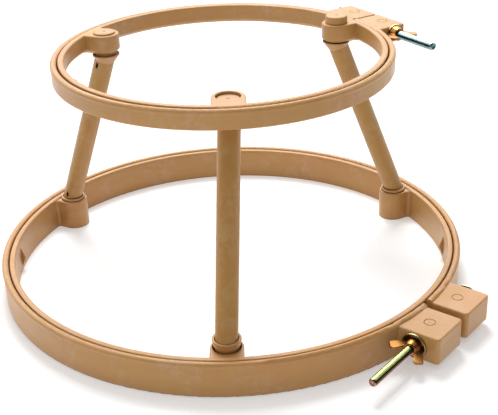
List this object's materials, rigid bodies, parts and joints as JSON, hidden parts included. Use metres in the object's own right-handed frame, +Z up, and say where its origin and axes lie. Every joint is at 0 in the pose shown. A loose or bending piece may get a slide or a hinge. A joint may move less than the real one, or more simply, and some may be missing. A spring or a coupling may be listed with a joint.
{
  "type": "embroidery hoop on stand",
  "caption": "Table-top embroidery frame: a small screw-clamped fabric hoop carried above a wider one by leaning tubular legs, so either hoop can be the base.",
  "frame": {"origin": "on the floor, on the lower hoop's axis", "axes": "+Z up along both hoops' common axis, the front leg on the -Y side and the lower clamp towards +X and -Y"},
  "size_m": [0.3718, 0.3757, 0.1903],
  "materials": {
    "lower_hoop_plastic": "satin moulded tan plastic",
    "upper_hoop_plastic": "satin moulded tan plastic",
    "leg_plastic": "satin moulded tan plastic",
    "fitting_plastic": "satin moulded tan plastic",
    "yellow_zinc_bolt": "iridescent yellow-passivated zinc on rolled threads",
    "blue_zinc_bolt": "bright blue-passivated zinc on rolled threads",
    "yellow_zinc_washer": "yellow-passivated zinc",
    "yellow_zinc_nut": "yellow-passivated zinc, slightly rough casting skin"
  },
  "bodies": {
    "stand": {"lower_inner_ring": "lower_hoop_plastic", "front_foot_socket": "fitting_plastic", "front_top_plug": "fitting_plastic", "left_foot_socket": "fitting_plastic", "left_top_plug": "fitting_plastic", "right_foot_socket": "fitting_plastic", "right_top_plug": "fitting_plastic"},
    "front_leg": {"front_leg": "leg_plastic"},
    "left_leg": {"left_leg": "leg_plastic"},
    "right_leg": {"right_leg": "leg_plastic"},
    "upper_hoop": {"upper_inner_ring": "upper_hoop_plastic"},
    "upper_clamp_ring": {"upper_outer_ring": "upper_hoop_plastic", "upper_clamp_bolt": "blue_zinc_bolt"},
    "lower_clamp_ring": {"lower_outer_ring": "lower_hoop_plastic", "lower_clamp_bolt": "yellow_zinc_bolt"},
    "lower_washer": {"lower_washer": "yellow_zinc_washer"},
    "lower_wing_nut": {"lower_wing_nut": "yellow_zinc_nut"},
    "upper_washer": {"upper_washer": "yellow_zinc_washer"},
    "upper_wing_nut": {"upper_wing_nut": "yellow_zinc_nut"}
  },
  "joints": [
    {"name": "upper_hoop_lift", "type": "slide", "parent": "stand", "child": "upper_hoop", "axis": [0, 0, 1], "range_m": [0, 0.04]},
    {"name": "upper_clamp_ring_lift", "type": "slide", "parent": "upper_hoop", "child": "upper_clamp_ring", "axis": [0, 0, 1], "range_m": [0, 0.04]},
    {"name": "lower_clamp_ring_lift", "type": "slide", "parent": "stand", "child": "lower_clamp_ring", "axis": [0, 0, 1], "range_m": [0, 0.2]},
    {"name": "front_leg_turn", "type": "hinge", "parent": "stand", "child": "front_leg", "pos_m": [0, -0.1585, 0.0318], "axis": [0.0409, 0.3836, 0.9226], "continuous": true},
    {"name": "right_leg_turn", "type": "hinge", "parent": "stand", "child": "right_leg", "pos_m": [0.14159, 0.08175, 0.0274], "axis": [-0.3429, -0.1518, 0.927], "continuous": true},
    {"name": "left_leg_turn", "type": "hinge", "parent": "stand", "child": "left_leg", "pos_m": [-0.14159, 0.08175, 0.0274], "axis": [0.3067, -0.2238, 0.9251], "continuous": true},
    {"name": "lower_washer_slide", "type": "slide", "parent": "lower_clamp_ring", "child": "lower_washer", "axis": [-0.6157, -0.788, 0], "range_m": [0, 0.02]},
    {"name": "lower_wing_nut_turn", "type": "hinge", "parent": "lower_washer", "child": "lower_wing_nut", "pos_m": [0.15169, -0.11851, 0.0146], "axis": [-0.6157, -0.788, 0], "range_deg": [0, 5670.3]},
    {"name": "upper_washer_slide", "type": "slide", "parent": "upper_clamp_ring", "child": "upper_washer", "axis": [0.549, -0.8358, 0], "range_m": [0, 0.02]},
    {"name": "upper_wing_nut_turn", "type": "hinge", "parent": "upper_washer", "child": "upper_wing_nut", "pos_m": [0.11451, 0.07522, 0.178], "axis": [0.549, -0.8358, 0], "range_deg": [0, 5670.3]}
  ],
  "couplings": [
    {"joint": "lower_wing_nut_turn", "follows": "lower_washer_slide", "rad_per_m": 4947.4},
    {"joint": "upper_wing_nut_turn", "follows": "upper_washer_slide", "rad_per_m": 4947.4}
  ]
}
